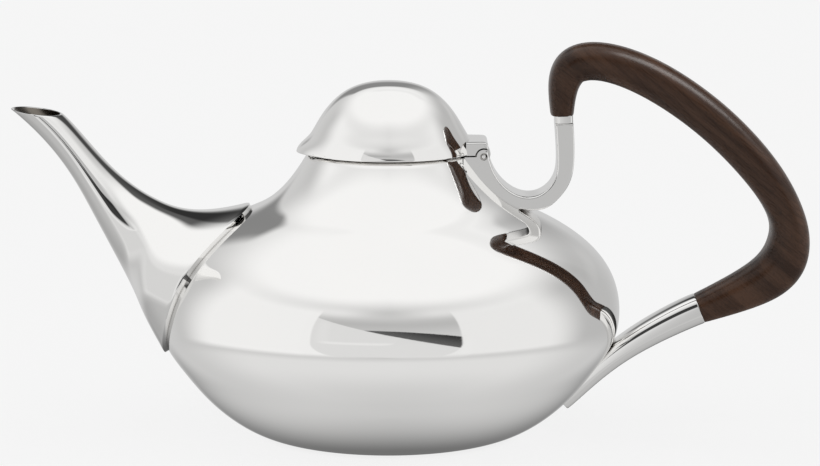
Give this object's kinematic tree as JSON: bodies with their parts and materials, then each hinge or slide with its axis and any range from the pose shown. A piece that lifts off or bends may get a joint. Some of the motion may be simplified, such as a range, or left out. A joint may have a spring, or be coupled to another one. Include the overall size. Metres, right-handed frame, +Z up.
{
  "type": "silver teapot",
  "caption": "Squat round silver teapot with a horn spout, a domed lid hinged at the back and a looped dark wooden handle between a U-shaped bracket and a tapered strut.",
  "frame": {"origin": "centre of the flat base, on the surface that the pot stands on", "axes": "+X towards the handle (the spout points to -X), +Z up, +Y completes the right hand; the pot is symmetric about the plane y = 0"},
  "size_m": [0.2863, 0.1662, 0.1418],
  "materials": {
    "silver": "mirror polished sterling silver",
    "inner_silver": "satin silver, unpolished inside",
    "steel": "plain",
    "dark_wood": "oiled satin, fine straight grain"
  },
  "bodies": {
    "pot": {"body_bowl": "silver", "body_shoulder": "silver", "body_neck": "silver", "base_plate": "silver", "mouth_collar": "inner_silver", "strainer_plate": "inner_silver", "spout_half_left": "silver", "spout_half_right": "silver", "spout_collar": "silver", "hinge_pin": "silver", "upper_bracket": "silver", "upper_ferrule": "silver", "upper_tang": "steel", "wood_grip": "dark_wood", "lower_tang": "steel", "lower_strut": "silver"},
    "lid": {"lid_dome": "silver", "lid_flange": "inner_silver", "lid_hinge_block": "silver"}
  },
  "joints": [
    {"name": "lid_hinge", "type": "hinge", "parent": "pot", "child": "lid", "pos_m": [0.0338, 0, 0.1012], "axis": [0, 1, 0], "range_deg": [0, 84]}
  ]
}
